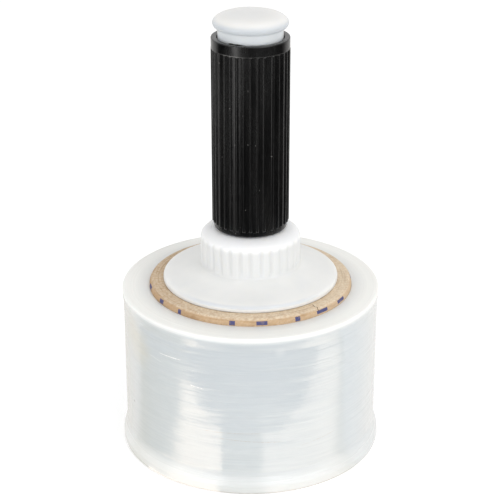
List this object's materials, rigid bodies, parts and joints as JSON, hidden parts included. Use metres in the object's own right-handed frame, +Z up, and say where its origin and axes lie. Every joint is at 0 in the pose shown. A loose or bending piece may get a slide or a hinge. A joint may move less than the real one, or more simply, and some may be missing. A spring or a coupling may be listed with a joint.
{
  "type": "stretch wrap roll",
  "caption": "Short roll of clear stretch film on a paper core, with a plastic hub and a turning ribbed hand grip on top.",
  "frame": {"origin": "middle of the bottom end, on the surface that the roll stands on", "axes": "+Z up along the roll's axis towards the grip; -Y is the side that the picture shows"},
  "size_m": [0.1196, 0.1196, 0.2026],
  "materials": {
    "film": "glossy, milky where many turns lie on each other",
    "core_board": "dull brown board with short fibres",
    "white_plastic": "satin, slightly translucent",
    "spindle_plastic": "satin",
    "cap_plastic": "satin, slightly translucent",
    "black_plastic": "semi-gloss moulded black"
  },
  "bodies": {
    "roll": {"film_roll": "film", "paper_core": "core_board", "hub": "white_plastic", "spindle": "spindle_plastic", "end_cap": "cap_plastic"},
    "grip": {"grip_sleeve": "black_plastic"}
  },
  "joints": [
    {"name": "grip_spin", "type": "hinge", "parent": "roll", "child": "grip", "pos_m": [0, 0, 0.148], "axis": [0, 0, 1], "continuous": true}
  ]
}
